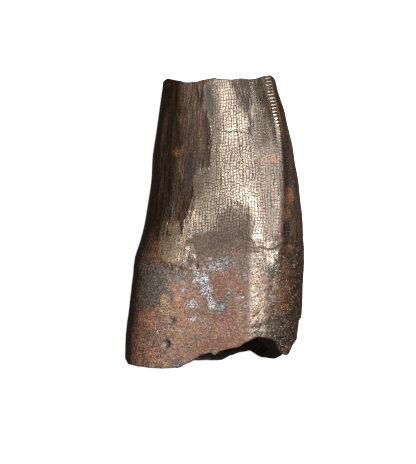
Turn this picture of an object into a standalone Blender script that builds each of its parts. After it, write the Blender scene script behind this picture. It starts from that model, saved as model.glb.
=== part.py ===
"""Fossil tyrannosaur tooth: one broken crown with the top of its root, lying on its labial face.

Frame: X runs from the distal edge to the mesial edge, Y from the broken root to the broken tip, and Z up,
out of the lingual face. The origin is under the middle of the tooth, on the plane that it rests on.
Lengths are in millimetres and become metres when a vertex is made.
"""

import math

import bmesh
import bpy
import numpy as np
from mathutils import Vector, noise

MM = 0.001
MIDDLE = (0.095, 0.198, 0.0)  # middle of the outline below, which becomes the origin

# Outline seen from the lingual side: (height along the tooth, x of that edge).
DISTAL_EDGE = [
    (-22.2, -13.60), (-17.8, -13.25), (-13.3, -12.85), (-8.8, -12.33), (-5.8, -11.95), (-2.8, -11.05),
    (1.7, -10.10), (6.2, -9.50), (12.2, -8.95), (16.7, -8.28), (22.3, -7.55),
]
MESIAL_EDGE = [
    (-22.2, 12.50), (-17.8, 12.75), (-14.8, 13.08), (-10.3, 13.28), (-6.5, 13.55), (-3.5, 13.47), (0.2, 13.24),
    (4.7, 12.87), (9.2, 12.15), (13.7, 11.28), (16.7, 10.62), (19.7, 9.73), (22.3, 8.98),
]
# Labial to lingual thickness, how far its lingual crest leans towards the distal edge, and how square
# each half of the lingual face is in cross-section (2 is an ellipse), each against height.
THICKNESS = [(-22.2, 17.2), (-13.0, 17.5), (-4.5, 16.7), (5.0, 15.0), (13.0, 13.3), (22.3, 11.5)]
CREST_LEAN = [(-22.2, 0.0), (-9.0, -0.2), (-2.0, -1.0), (5.0, -2.0), (13.0, -2.5), (22.3, -2.2)]
DISTAL_SQUARENESS = [(-22.2, 2.75), (-6.0, 2.65), (2.0, 2.40), (10.0, 2.25), (22.3, 2.15)]
MESIAL_SQUARENESS = [(-22.2, 2.20), (-6.0, 2.25), (2.0, 2.25), (22.3, 2.15)]
LABIAL_SQUARENESS = 2.25
WIDEST_SHARE = 0.48  # height of the widest line, as a share of the thickness

# Carinae. The mesial one runs on the lingual side of its edge, by this inset, and fades below the tip half.
MESIAL_INSET = [
    (-22.2, 4.0), (-8.0, 4.0), (-2.8, 3.8), (0.9, 3.35), (3.2, 3.1), (9.2, 2.4), (13.5, 1.8), (15.9, 1.65),
    (18.3, 1.45), (22.3, 1.12),
]
MESIAL_KEEL = [(6.0, 0.0), (10.0, 0.16), (15.0, 0.30), (22.3, 0.42)]
DISTAL_ANGLE = math.radians(206.0)
DISTAL_KEEL = [(-6.5, 0.0), (-2.0, 0.22), (22.3, 0.40)]
KEEL_SPREAD = 0.42
DENTICLE_PITCH = 0.5
DENTICLE_CUT = 0.62  # share of the keel's height that the notch between two denticles takes
MESIAL_DENTICLES_FROM = 15.0
DISTAL_DENTICLES_FROM = -2.0

# The enamel's lower edge, which stands proud of the root: (turn around the tooth from the mesial edge over
# the lingual face in degrees, height) and (turn, step).
ENAMEL_EDGE = [
    (0, -4.2), (15, -3.9), (30, -3.3), (41, -3.05), (45, -3.2), (50, -3.85), (55, -4.1), (60, -3.7), (66, -3.85),
    (72, -3.85), (75, -3.5), (80, -3.9), (84, -4.5), (91, -4.8), (97, -5.25), (101, -6.0), (104, -6.7), (108, -7.1),
    (111, -6.8), (115, -6.55), (118, -6.15), (122, -6.1), (126, -5.6), (130, -5.3), (137, -5.4), (150, -5.0),
    (165, -5.2), (195, -5.6), (235, -4.6), (275, -3.6), (320, -3.9), (360, -4.2),
]
ENAMEL_STEP = [
    (0, 0.06), (22, 0.08), (34, 0.20), (50, 0.24), (66, 0.14), (75, 0.08), (105, 0.06), (120, 0.12), (132, 0.10),
    (145, 0.05), (190, 0.05), (230, 0.16), (310, 0.16), (345, 0.06), (360, 0.06),
]
ENAMEL_FADE = 6.0

# Broken ends: (x, height) of each edge of the break on the lingual and on the labial side.
LINGUAL_BASE = [
    (-13.4, -19.6), (-13.2, -20.5), (-12.7, -21.15), (-11.3, -21.4), (-8.8, -21.6), (-5.9, -21.55), (-4.8, -21.15),
    (-3.4, -20.45), (-2.0, -19.5), (-0.6, -19.2), (0.0, -19.65), (0.9, -18.95), (1.8, -18.7), (3.5, -18.4),
    (4.3, -17.85), (5.3, -17.35), (6.2, -17.0), (7.3, -17.15), (8.4, -17.4), (9.1, -17.9), (9.6, -18.6), (9.9, -19.4),
    (10.3, -19.75), (10.8, -19.9), (11.2, -19.7), (11.5, -19.2), (11.85, -18.4), (12.3, -17.8), (13.0, -17.0),
]
LABIAL_BASE = [
    (-13.4, -19.6), (-12.0, -21.0), (-8.0, -21.3), (-2.4, -21.15), (0.8, -21.15), (1.7, -20.95), (2.6, -20.4),
    (4.0, -19.95), (5.4, -19.6), (6.7, -19.7), (7.6, -20.05), (8.3, -20.5), (9.0, -20.95), (9.5, -20.85),
    (10.0, -20.55), (10.5, -20.15), (11.4, -19.2), (12.4, -18.1), (13.0, -17.0),
]
LINGUAL_TIP = [
    (-7.8, 21.0), (-7.0, 21.4), (-6.0, 21.15), (-4.4, 20.75), (-3.0, 20.75), (-1.4, 21.1), (0.0, 21.4), (0.5, 21.2),
    (2.7, 21.15), (3.9, 21.4), (5.3, 21.25), (6.6, 21.4), (7.4, 21.75), (8.5, 22.1), (9.0, 21.85), (9.3, 21.3),
]
LABIAL_TIP = [(-7.8, 20.9), (-5.0, 20.4), (-1.0, 20.2), (3.0, 20.3), (7.0, 20.8), (9.3, 21.3)]

# Long low ridges on the lingual face, each as (height, x) along it, (height, rise) and how wide it spreads:
# the shoulder beside the steep distal flank, the ridge that turns towards the distal edge near the root, and
# the one beside the hollow.
RIDGES = [
    (
        [(-6.0, -9.4), (-2.0, -8.4), (3.2, -6.3), (9.2, -5.4), (15.2, -4.8), (22.3, -5.1)],
        [(-6.0, 0.0), (0.0, 0.08), (9.0, 0.12), (22.3, 0.16)],
        1.2,
    ),
    (
        [(-4.6, -6.9), (-1.0, -4.4), (2.6, -2.7), (6.2, -0.9), (11.6, 0.2), (15.2, 0.2), (22.3, -0.4)],
        [(-8.0, 0.0), (-4.6, 0.14), (0.0, 0.20), (6.0, 0.14), (16.0, 0.12), (22.3, 0.10)],
        1.6,
    ),
    (
        [(-16.0, 5.6), (-6.0, 5.6), (3.0, 5.6), (9.0, 5.0)],
        [(-19.0, 0.0), (-12.0, 0.12), (0.0, 0.14), (4.0, 0.08), (9.0, 0.0)],
        1.5,
    ),
]
# The flange that carries the mesial carina, and a hollow that widens from the lower crown into the root.
FLANGE_RISE = [(-8.0, 0.0), (-2.0, 0.32), (9.0, 0.42), (13.0, 0.30), (17.0, 0.10), (22.3, 0.04)]
FLANGE_SPREAD = 1.7
FLANGE_DROP = 0.85  # its spread past the carina, where it drops to the flank
HOLLOW_X = [(-12.0, 0.5), (-5.0, 0.8), (-1.0, 1.9), (3.0, 2.5), (6.0, 2.6)]
HOLLOW_DEPTH = [(-13.0, 0.0), (-8.0, 0.16), (-3.0, 0.40), (1.0, 0.38), (3.5, 0.10), (5.0, 0.0)]
HOLLOW_SPREAD = [(-12.0, 6.0), (-5.0, 5.0), (-1.0, 3.6), (3.0, 2.9), (6.0, 2.2)]
# A flake lost above the mesial corner of the base.
FLAKE_EDGE = [(5.2, -15.4), (7.4, -14.8), (10.0, -14.3), (10.7, -14.1), (12.5, -14.1), (13.2, -14.5)]
FLAKE_DEPTH = [(4.5, 0.0), (6.5, 0.10), (10.5, 0.14), (12.6, 0.34)]
PITS = [(-7.05, -18.0, 1.25, 0.45), (-2.7, -6.5, 0.55, 0.35), (-6.15, -14.55, 0.9, 0.28)]  # x, height, diameter, depth

# The pulp cavity tapers from the broken base to a point inside the crown.
WALL = 2.5
CAVITY_APEX = 3.5
CAVITY_TAPER = 0.72
INNER_EDGE_RISE = [(0, 1.2), (35, 1.6), (60, 0.8), (80, 0.5), (180, 0.4), (300, 0.35), (330, 0.7), (360, 1.2)]

REST_FLAT = 0.14  # how much of the labial face's lowest line is worn flat

LINGUAL_COLUMNS = 33
LABIAL_COLUMNS = 27
ROOT_ROWS = 15
CROWN_ROWS = 27
CAVITY_ROWS = 12
TIP_RINGS = 6
FINE_STEPS = 4  # steps between two rows along a carina, two for each denticle
ENAMEL_LIP = 0.16  # height over which the enamel's edge rises to its full step
KEEL_SIDE = (0.011, 0.03)  # shares of a face's turn where the fine and the coarse column beside a crest lie


def smooth(stations, at):
    """Cubic curve through (place, value) stations, flat beyond its ends."""
    xs, ys = (np.array(v, float) for v in zip(*stations))
    slopes = np.gradient(ys, xs)
    at = np.clip(np.asarray(at, float), xs[0], xs[-1])
    i = np.clip(np.searchsorted(xs, at) - 1, 0, len(xs) - 2)
    span = xs[i + 1] - xs[i]
    t = (at - xs[i]) / span
    return (
        ys[i] * (1 + 2 * t) * (1 - t) ** 2
        + ys[i + 1] * t * t * (3 - 2 * t)
        + span * (slopes[i] * t * (1 - t) ** 2 - slopes[i + 1] * t * t * (1 - t))
    )


def straight(stations, at):
    """Straight lines through (place, value) stations."""
    xs, ys = zip(*stations)
    return np.interp(at, xs, ys)


def ramp(at, start, end):
    """0 before start, 1 after end, with a smooth rise between."""
    t = np.clip((at - start) / (end - start), 0, 1)
    return t * t * (3 - 2 * t)


def section(height, turn):
    """(x, z) of the plain cross-section at a height, for a turn in radians from the mesial edge."""
    height, turn = np.broadcast_arrays(np.asarray(height, float), np.asarray(turn, float))
    left, right = smooth(DISTAL_EDGE, height), smooth(MESIAL_EDGE, height)
    thick = smooth(THICKNESS, height)
    c, s = np.cos(turn), np.sin(turn)
    lingual = ramp(s, -0.35, 0.35)
    mesial = ramp(c, -0.3, 0.3)
    n = smooth(DISTAL_SQUARENESS, height) * (1 - mesial) + smooth(MESIAL_SQUARENESS, height) * mesial
    n = LABIAL_SQUARENESS + (n - LABIAL_SQUARENESS) * lingual
    radius = (np.abs(c) ** n + np.abs(s) ** n) ** (-1 / n)
    across, out = radius * c, radius * s
    rise = np.where(out > 0, 1 - WIDEST_SHARE, WIDEST_SHARE) * thick
    x = (left + right) / 2 + (right - left) / 2 * across
    x = x + smooth(CREST_LEAN, height) * np.maximum(out, 0) ** 2
    return x, WIDEST_SHARE * thick + rise * out - REST_FLAT


def crest_turns():
    """(heights, turns): the turn at which the mesial carina's inset from the mesial edge is met."""
    turns = np.radians(np.arange(4.0, 80.0, 1.0))
    heights = np.linspace(-22.2, 22.3, 60)
    wanted = smooth(MESIAL_EDGE, heights) - smooth(MESIAL_INSET, heights)
    found = [np.interp(-x, -section(h, turns)[0], turns) for h, x in zip(heights, wanted)]
    return heights, np.array(found)


CREST_TURNS = crest_turns()


def mesial_turn(height):
    """The turn of the mesial carina."""
    return np.interp(height, *CREST_TURNS)


def turn_of(height, share):
    """The turn of a column: share 0 to 1 crosses the lingual face from the mesial carina to the distal one,
    and 1 to 2 comes back over the labial face."""
    start = mesial_turn(height)
    first = start + (DISTAL_ANGLE - start) * share
    second = DISTAL_ANGLE + (start + 2 * math.pi - DISTAL_ANGLE) * (share - 1)
    return np.where(share <= 1, first, second)


def outward(height, turn):
    """Unit normal (x, z) of the plain cross-section."""
    step = 0.01
    x0, z0 = section(height, turn - step)
    x1, z1 = section(height, turn + step)
    dx, dz = x1 - x0, z1 - z0
    length = np.hypot(dx, dz)
    return dz / length, -dx / length


def denticles(height, start):
    """1 on a denticle's tip and less in the notches above start, 1 below it."""
    notch = (0.5 - 0.5 * np.cos(2 * math.pi * height / DENTICLE_PITCH)) ** 1.5
    return 1 - DENTICLE_CUT * ramp(height, start - 1.5, start + 1.0) * notch


def keel(height, x, z, crest_turn, stations, start):
    """Rise of a carina at points of the section, with its denticles."""
    crest_x, crest_z = section(height, crest_turn)
    away = np.hypot(x - crest_x, z - crest_z)
    rise = smooth(stations, height) * np.exp(-((away / KEEL_SPREAD) ** 2))
    return rise * denticles(height, start)


def lumps(x, height, z):
    """Slow unevenness of a grown and buried surface."""
    return 0.06 * np.sin(0.55 * height + 0.4 * x) * np.cos(0.5 * x - 0.3 * z) + 0.04 * np.sin(
        1.1 * height - 0.7 * x + 0.5 * z
    )


def relief(height, turn, x, z):
    """How far the finished surface stands out from the plain section."""
    degrees = np.degrees(turn) % 360
    lingual = ramp(np.sin(turn), 0.0, 0.35)
    out = keel(height, x, z, mesial_turn(height), MESIAL_KEEL, MESIAL_DENTICLES_FROM)
    out = out + keel(height, x, z, DISTAL_ANGLE, DISTAL_KEEL, DISTAL_DENTICLES_FROM)
    edge = straight(ENAMEL_EDGE, degrees)
    below = np.maximum(edge - height, 0)
    root = ramp(edge - height, 0, ENAMEL_LIP)
    out = out - smooth(ENAMEL_STEP, degrees) * root * np.exp(-below / ENAMEL_FADE)
    for line, rise, spread in RIDGES:
        out = out + lingual * smooth(rise, height) * np.exp(-(((x - smooth(line, height)) / spread) ** 2))
    crest_x, crest_z = section(height, mesial_turn(height))
    spread = np.where(np.sin(turn - mesial_turn(height)) < 0, FLANGE_DROP, FLANGE_SPREAD)
    flange = np.exp(-(((x - crest_x) ** 2 + (z - crest_z) ** 2) / spread**2))
    out = out + smooth(FLANGE_RISE, height) * flange
    hollow = np.exp(-(((x - smooth(HOLLOW_X, height)) / smooth(HOLLOW_SPREAD, height)) ** 4))
    out = out - lingual * smooth(HOLLOW_DEPTH, height) * hollow
    flake = ramp(straight(FLAKE_EDGE, x) - height, -0.1, 0.4) * ramp(np.sin(turn), -0.5, -0.1)
    return out - smooth(FLAKE_DEPTH, x) * flake + (1 - 0.7 * lingual) * lumps(x, height, z)


def outer_point(height, turn):
    """Finished point of the outer surface as an array of x, height, z."""
    x, z = section(height, turn)
    nx, nz = outward(height, turn)
    out = relief(height, turn, x, z)
    return np.stack([x + nx * out, height + 0 * x, np.maximum(z + nz * out, 0)], -1)


def cavity_point(height, turn):
    """Point of the pulp cavity's wall."""
    low = -21.0
    left, right = smooth(DISTAL_EDGE, low) + WALL, smooth(MESIAL_EDGE, low) - WALL
    thick = smooth(THICKNESS, low) - 2 * WALL
    taper = np.clip((CAVITY_APEX - height) / (CAVITY_APEX - low), 0, 1.2) ** CAVITY_TAPER
    middle = (smooth(DISTAL_EDGE, height) + smooth(MESIAL_EDGE, height)) / 2
    x = middle + (right - left) / 2 * taper * np.cos(turn)
    z = WIDEST_SHARE * smooth(THICKNESS, height) + thick / 2 * taper * np.sin(turn)
    return np.stack([x, height + 0 * x, z], -1)


def broken_edge(lingual, labial, turn, x, jitter_at):
    """Height of a break's edge, from its lingual or labial outline, a little ragged."""
    high, low = straight(lingual, x), straight(labial, x)
    ragged = [0.10 * noise.noise(Vector((p * 0.9, jitter_at, 3.1))) for p in np.atleast_1d(x)]
    return np.where(np.sin(turn) > 0, high, low) + np.array(ragged)


def column_shares():
    """(share, fine) of each column around the tooth, the mesial crest first."""
    side, coarse = KEEL_SIDE
    lingual = np.linspace(coarse, 1 - coarse, LINGUAL_COLUMNS)
    labial = 1 + np.linspace(coarse, 1 - coarse, LABIAL_COLUMNS)
    columns = [(0.0, "mesial"), (side, "mesial")] + [(s, None) for s in lingual]
    columns += [(1 - side, "distal"), (1.0, "distal"), (1 + side, "distal")]
    columns += [(s, None) for s in labial] + [(2 - side, "mesial")]
    return columns


def column_heights(share):
    """Heights of a column's rows on the outer surface, from the base's edge to the tip's."""
    low_turn, high_turn = turn_of(-19.5, share), turn_of(21.0, share)
    base = broken_edge(LINGUAL_BASE, LABIAL_BASE, low_turn, section(-19.5, low_turn)[0], 0.0)[0]
    tip = broken_edge(LINGUAL_TIP, LABIAL_TIP, high_turn, section(21.0, high_turn)[0], 7.0)[0]
    edge = straight(ENAMEL_EDGE, np.degrees(turn_of(-4.0, share)) % 360)
    root = np.linspace(base, edge - ENAMEL_LIP, ROOT_ROWS)
    return np.concatenate([root, np.linspace(edge, tip, CROWN_ROWS)])


def with_fine_steps(heights, kind):
    """Heights with FINE_STEPS between rows where this carina has denticles, and each row's index in them."""
    start = {"mesial": MESIAL_DENTICLES_FROM - 1.5, "distal": DISTAL_DENTICLES_FROM - 1.5}.get(kind, math.inf)
    fine, rows = [heights[0]], [0]
    for low, high in zip(heights, heights[1:]):
        steps = FINE_STEPS if low > start else 1
        fine += [low + (high - low) * k / steps for k in range(1, steps + 1)]
        rows.append(len(fine) - 1)
    return np.array(fine), rows


def snapped(heights, rows, kind):
    """Moves the fine steps onto denticle tips and notches, so that the mesh holds each of them."""
    start = MESIAL_DENTICLES_FROM if kind == "mesial" else DISTAL_DENTICLES_FROM
    half = DENTICLE_PITCH / 2
    moved = heights.copy()
    for k in range(1, len(heights) - 1):
        if heights[k] > start - 1.0 and k > rows[1]:
            moved[k] = round(heights[k] / half) * half
    return moved if np.all(np.diff(moved) > 0.02) else heights


def zip_columns(bm, left, right):
    """Faces between two columns, each a list of vertex lists, one list for each row interval."""
    for a, b in zip(left, right):
        if len(a) == len(b):
            for k in range(len(a) - 1):
                bm.faces.new((a[k], b[k], b[k + 1], a[k + 1]))
            continue
        few, many, flip = (a, b, False) if len(a) < len(b) else (b, a, True)
        half = len(many) // 2
        fans = [(few[0], many[k], many[k + 1]) for k in range(half)]
        fans.append((few[0], many[half], few[1]))
        fans += [(few[1], many[k], many[k + 1]) for k in range(half, len(many) - 1)]
        for fan in fans:
            bm.faces.new(fan[::-1] if flip else fan)


def bridge(bm, lower, upper):
    """Quads between two closed rings of vertices."""
    for k in range(len(lower)):
        after = (k + 1) % len(lower)
        bm.faces.new((lower[k], lower[after], upper[after], upper[k]))


def cap(bm, ring, vertex):
    """Triangles from a closed ring to one vertex."""
    for k in range(len(ring)):
        bm.faces.new((ring[k], ring[(k + 1) % len(ring)], vertex))


def add_vertex(bm, point):
    return bm.verts.new([MM * float(v - m) for v, m in zip(point, MIDDLE)])


def outer_columns(bm):
    """The outer surface. Returns its edge rings at the base and at the tip."""
    columns = []
    for share, kind in column_shares():
        heights, rows = with_fine_steps(column_heights(share), kind)
        if kind:
            heights = snapped(heights, rows, kind)
        points = outer_point(heights, turn_of(heights, share))
        verts = [add_vertex(bm, p) for p in points]
        columns.append([verts[low : high + 1] for low, high in zip(rows, rows[1:])])
    for k, column in enumerate(columns):
        zip_columns(bm, column, columns[(k + 1) % len(columns)])
    return [c[0][0] for c in columns], [c[-1][-1] for c in columns]


def cavity_rings(bm):
    """Rings of the pulp cavity from its broken mouth upwards, and the vertex at its apex."""
    rings = []
    shares = [share for share, _ in column_shares()]
    for row in range(CAVITY_ROWS):
        climb = row / CAVITY_ROWS
        ring = []
        for share in shares:
            turn = float(turn_of(-19.5, share))
            mouth = column_heights(share)[0] + float(smooth(INNER_EDGE_RISE, math.degrees(turn) % 360))
            height = mouth + (CAVITY_APEX - mouth) * climb
            ring.append(add_vertex(bm, cavity_point(height, turn)))
        rings.append(ring)
    apex = add_vertex(bm, cavity_point(CAVITY_APEX, 0.0))
    return rings, apex


def tip_rings(bm, edge):
    """Rings of the broken tip, inside its edge, and the vertex at its middle."""
    middle = sum((v.co for v in edge), Vector()) / len(edge)
    middle.y -= 0.35 * MM
    rings = []
    for k in range(1, TIP_RINGS):
        share = 1 - k / TIP_RINGS
        ring = []
        for v in edge:
            point = middle.lerp(v.co, share)
            point.y = middle.y + (v.co.y - middle.y) * share**1.6
            point.y += 0.28 * MM * noise.noise(Vector((point.x, 0, point.z)) / (2.2 * MM)) * (1 - share) ** 0.5
            ring.append(bm.verts.new(point))
        rings.append(ring)
    return rings, bm.verts.new(middle)


def tooth_mesh():
    """The whole tooth as one closed mesh."""
    bm = bmesh.new()
    base_edge, tip_edge = outer_columns(bm)
    rings, apex = cavity_rings(bm)
    bridge(bm, rings[0], base_edge)
    for low, high in zip(rings, rings[1:]):
        bridge(bm, high, low)
    cap(bm, rings[-1][::-1], apex)
    rings, middle = tip_rings(bm, tip_edge)
    for low, high in zip([tip_edge, *rings], rings):
        bridge(bm, low, high)
    cap(bm, rings[-1], middle)
    bmesh.ops.recalc_face_normals(bm, faces=bm.faces)
    mesh = bpy.data.meshes.new("tooth")
    bm.to_mesh(mesh)
    bm.free()
    return mesh


def fossil_material():
    """Dark brown mineralised enamel and dentine."""
    material = bpy.data.materials.new("fossil_enamel")
    material.use_nodes = True
    shader = material.node_tree.nodes["Principled BSDF"]
    shader.inputs["Base Color"].default_value = (0.09, 0.062, 0.043, 1)
    shader.inputs["Roughness"].default_value = 0.38
    shader.inputs["Metallic"].default_value = 0.0
    return material


def cut_pits(tooth):
    """Small round pits in the lingual face, each cut by a ball."""
    for number, (x, height, wide, deep) in enumerate(PITS):
        turns = np.radians(np.arange(40.0, 150.0, 1.0))
        face = outer_point(np.full(len(turns), height), turns)
        top = float(np.interp(-x, -face[:, 0], face[:, 2]))
        radius = (wide**2 / 4 + deep**2) / (2 * deep)
        ball = bpy.data.meshes.new(f"pit_cutter_{number}")
        bm = bmesh.new()
        bmesh.ops.create_icosphere(bm, subdivisions=3, radius=radius * MM)
        bm.to_mesh(ball)
        bm.free()
        cutter = bpy.data.objects.new(f"pit_cutter_{number}", ball)
        place = (x, height, top + radius - deep)
        cutter.location = [MM * (v - m) for v, m in zip(place, MIDDLE)]
        cutter.hide_render = True
        cutter.display_type = "WIRE"
        bpy.context.scene.collection.objects.link(cutter)
        cut = tooth.modifiers.new(f"pit_{number}", "BOOLEAN")
        cut.operation = "DIFFERENCE"
        cut.object = cutter


def main():
    for obj in list(bpy.data.objects):
        bpy.data.objects.remove(obj)
    mesh = tooth_mesh()
    mesh.shade_smooth()
    mesh.set_sharp_from_angle(angle=math.radians(40))
    mesh.materials.append(fossil_material())
    tooth = bpy.data.objects.new("tooth", mesh)
    bpy.context.scene.collection.objects.link(tooth)
    cut_pits(tooth)


main()
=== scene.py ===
import math
from functools import partial, reduce

import bpy
import numpy as np
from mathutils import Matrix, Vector, noise


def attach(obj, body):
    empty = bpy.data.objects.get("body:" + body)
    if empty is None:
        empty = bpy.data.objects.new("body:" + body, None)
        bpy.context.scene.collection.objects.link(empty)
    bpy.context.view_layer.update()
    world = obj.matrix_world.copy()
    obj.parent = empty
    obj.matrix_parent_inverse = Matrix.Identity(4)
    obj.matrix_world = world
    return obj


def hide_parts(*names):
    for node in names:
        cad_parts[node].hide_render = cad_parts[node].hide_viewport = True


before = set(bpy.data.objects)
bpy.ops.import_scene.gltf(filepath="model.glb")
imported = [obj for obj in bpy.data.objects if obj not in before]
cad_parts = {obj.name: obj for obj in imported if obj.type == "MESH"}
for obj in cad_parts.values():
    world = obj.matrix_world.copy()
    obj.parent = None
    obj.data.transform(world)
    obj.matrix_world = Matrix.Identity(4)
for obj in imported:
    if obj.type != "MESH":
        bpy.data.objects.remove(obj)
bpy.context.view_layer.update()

scene = bpy.context.scene

MM = 0.001
MIDDLE = (0.095, 0.198, 0.0)  # middle of the outline below, which becomes the origin
LOWEST, HIGHEST = -22.2, 22.3  # heights at the ends of the outline

# Outline seen from the lingual side: (height along the tooth, x of that edge).
DISTAL_EDGE = [
    (-22.2, -13.60), (-17.8, -13.25), (-13.3, -12.85), (-8.8, -12.33), (-5.8, -11.95), (-2.8, -11.05),
    (1.7, -10.10), (6.2, -9.50), (12.2, -8.95), (16.7, -8.28), (22.3, -7.55),
]
MESIAL_EDGE = [
    (-22.2, 12.50), (-17.8, 12.75), (-14.8, 13.08), (-10.3, 13.28), (-6.5, 13.55), (-3.5, 13.47),
    (0.2, 13.24), (4.7, 12.87), (9.2, 12.15), (13.7, 11.28), (16.7, 10.62), (19.7, 9.73), (22.3, 8.98),
]
# Labial to lingual thickness, how far its lingual crest leans towards the distal edge, and how square
# each half of the lingual face is in cross-section (2 is an ellipse), each against height.
THICKNESS = [(-22.2, 17.2), (-13.0, 17.5), (-4.5, 16.7), (5.0, 15.0), (13.0, 13.3), (22.3, 11.5)]
CREST_LEAN = [(-22.2, 0.0), (-9.0, -0.2), (-2.0, -1.0), (5.0, -2.0), (13.0, -2.5), (22.3, -2.2)]
DISTAL_SQUARENESS = [(-22.2, 2.75), (-6.0, 2.65), (2.0, 2.40), (10.0, 2.25), (22.3, 2.15)]
MESIAL_SQUARENESS = [(-22.2, 2.20), (-6.0, 2.25), (2.0, 2.25), (22.3, 2.15)]
LABIAL_SQUARENESS = 2.25
WIDEST_SHARE = 0.48  # height of the widest line, as a share of the thickness

# Carinae. The mesial one runs on the lingual side of its edge, by this inset, and fades below the tip half.
MESIAL_INSET = [
    (-22.2, 4.0), (-8.0, 4.0), (-2.8, 3.8), (0.9, 3.35), (3.2, 3.1), (9.2, 2.4), (13.5, 1.8), (15.9, 1.65),
    (18.3, 1.45), (22.3, 1.12),
]
MESIAL_KEEL = [(6.0, 0.0), (10.0, 0.16), (15.0, 0.30), (22.3, 0.42)]
DISTAL_ANGLE = math.radians(206.0)
DISTAL_KEEL = [(-6.5, 0.0), (-2.0, 0.22), (22.3, 0.40)]
KEEL_SPREAD = 0.42
DENTICLE_PITCH = 0.5
DENTICLE_CUT = 0.62  # share of the keel's height that the notch between two denticles takes
DENTICLE_FADE = (-1.5, 2.2)  # where the notches begin and are full, from the lowest denticle
MESIAL_DENTICLES_FROM = 15.0
DISTAL_DENTICLES_FROM = -2.0

# The enamel's lower edge, which stands proud of the root: (turn around the tooth from the mesial edge over
# the lingual face in degrees, height) and (turn, step).
ENAMEL_EDGE = [
    (0, -4.2), (15, -3.9), (30, -3.3), (41, -3.05), (45, -3.2), (50, -3.85), (55, -4.1), (60, -3.7),
    (66, -3.85), (72, -3.85), (75, -3.5), (80, -3.9), (84, -4.5), (91, -4.8), (97, -5.25), (101, -6.0),
    (104, -6.7), (108, -7.1), (111, -6.8), (115, -6.55), (118, -6.15), (122, -6.1), (126, -5.6),
    (130, -5.3), (137, -5.4), (150, -5.0), (165, -5.2), (195, -5.6), (235, -4.6), (275, -3.6), (320, -3.9),
    (360, -4.2),
]
ENAMEL_STEP = [
    (0, 0.06), (22, 0.08), (34, 0.20), (50, 0.24), (66, 0.14), (75, 0.08), (105, 0.06), (120, 0.12),
    (132, 0.10), (145, 0.05), (190, 0.05), (230, 0.16), (310, 0.16), (345, 0.06), (360, 0.06),
]
ENAMEL_LIP = 0.16  # height over which the enamel steps down to the root
ENAMEL_FADE = 6.0

# Broken ends: (x, height) of each edge of the break on the lingual and on the labial side.
LINGUAL_BASE = [
    (-13.4, -19.6), (-13.2, -20.5), (-12.7, -21.15), (-11.3, -21.4), (-8.8, -21.6), (-5.9, -21.55),
    (-4.8, -21.15), (-3.4, -20.45), (-2.0, -19.5), (-0.6, -19.2), (0.0, -19.65), (0.9, -18.95),
    (1.8, -18.7), (3.5, -18.4), (4.3, -17.85), (5.3, -17.35), (6.2, -17.0), (7.3, -17.15), (8.4, -17.4),
    (9.1, -17.9), (9.6, -18.6), (9.9, -19.4), (10.3, -19.75), (10.8, -19.9), (11.2, -19.7), (11.5, -19.2),
    (11.85, -18.4), (12.3, -17.8), (13.0, -17.0),
]
LABIAL_BASE = [
    (-13.4, -19.6), (-12.0, -21.0), (-8.0, -21.3), (-2.4, -21.15), (0.8, -21.15), (1.7, -20.95),
    (2.6, -20.4), (4.0, -19.95), (5.4, -19.6), (6.7, -19.7), (7.6, -20.05), (8.3, -20.5), (9.0, -20.95),
    (9.5, -20.85), (10.0, -20.55), (10.5, -20.15), (11.4, -19.2), (12.4, -18.1), (13.0, -17.0),
]
LINGUAL_TIP = [
    (-7.8, 21.0), (-7.0, 21.4), (-6.0, 21.15), (-4.4, 20.75), (-3.0, 20.75), (-1.4, 21.1), (0.0, 21.4),
    (0.5, 21.2), (2.7, 21.15), (3.9, 21.4), (5.3, 21.25), (6.6, 21.4), (7.4, 21.75), (8.5, 22.1),
    (9.0, 21.85), (9.3, 21.3),
]
LABIAL_TIP = [(-7.8, 20.9), (-5.0, 20.4), (-1.0, 20.2), (3.0, 20.3), (7.0, 20.8), (9.3, 21.3)]

# Long low ridges on the lingual face, each as (height, x) along it, (height, rise) and how wide it spreads:
# the shoulder beside the steep distal flank, one that turns towards the distal edge near the root, and one
# beside the hollow.
RIDGES = [
    (
        [(-6.0, -9.4), (-2.0, -8.4), (3.2, -6.3), (9.2, -5.4), (15.2, -4.8), (22.3, -5.1)],
        [(-6.0, 0.0), (0.0, 0.08), (9.0, 0.12), (22.3, 0.16)], 1.2,
    ),
    (
        [(-4.6, -6.9), (-1.0, -4.4), (2.6, -2.7), (6.2, -0.9), (11.6, 0.2), (15.2, 0.2), (22.3, -0.4)],
        [(-8.0, 0.0), (-4.6, 0.14), (0.0, 0.20), (6.0, 0.14), (16.0, 0.12), (22.3, 0.10)], 1.6,
    ),
    (
        [(-16.0, 5.6), (-6.0, 5.6), (3.0, 5.6), (9.0, 5.0)],
        [(-19.0, 0.0), (-12.0, 0.12), (0.0, 0.14), (4.0, 0.08), (9.0, 0.0)], 1.5,
    ),
]
# The flange that carries the mesial carina, and a hollow that widens from the lower crown into the root.
FLANGE_RISE = [(-8.0, 0.0), (-2.0, 0.32), (9.0, 0.42), (13.0, 0.30), (17.0, 0.10), (22.3, 0.04)]
FLANGE_SPREAD = 1.7
FLANGE_DROP = 0.85  # its spread past the carina, where it drops to the flank
HOLLOW_X = [(-12.0, 0.5), (-5.0, 0.8), (-1.0, 1.9), (3.0, 2.5), (6.0, 2.6)]
HOLLOW_DEPTH = [(-13.0, 0.0), (-8.0, 0.16), (-3.0, 0.40), (1.0, 0.38), (3.5, 0.10), (5.0, 0.0)]
HOLLOW_SPREAD = [(-12.0, 6.0), (-5.0, 5.0), (-1.0, 3.6), (3.0, 2.9), (6.0, 2.2)]
# A flake lost above the mesial corner of the base.
FLAKE_EDGE = [(5.2, -15.4), (7.4, -14.8), (10.0, -14.3), (10.7, -14.1), (12.5, -14.1), (13.2, -14.5)]
FLAKE_DEPTH = [(4.5, 0.0), (6.5, 0.10), (10.5, 0.14), (12.6, 0.34)]
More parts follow.
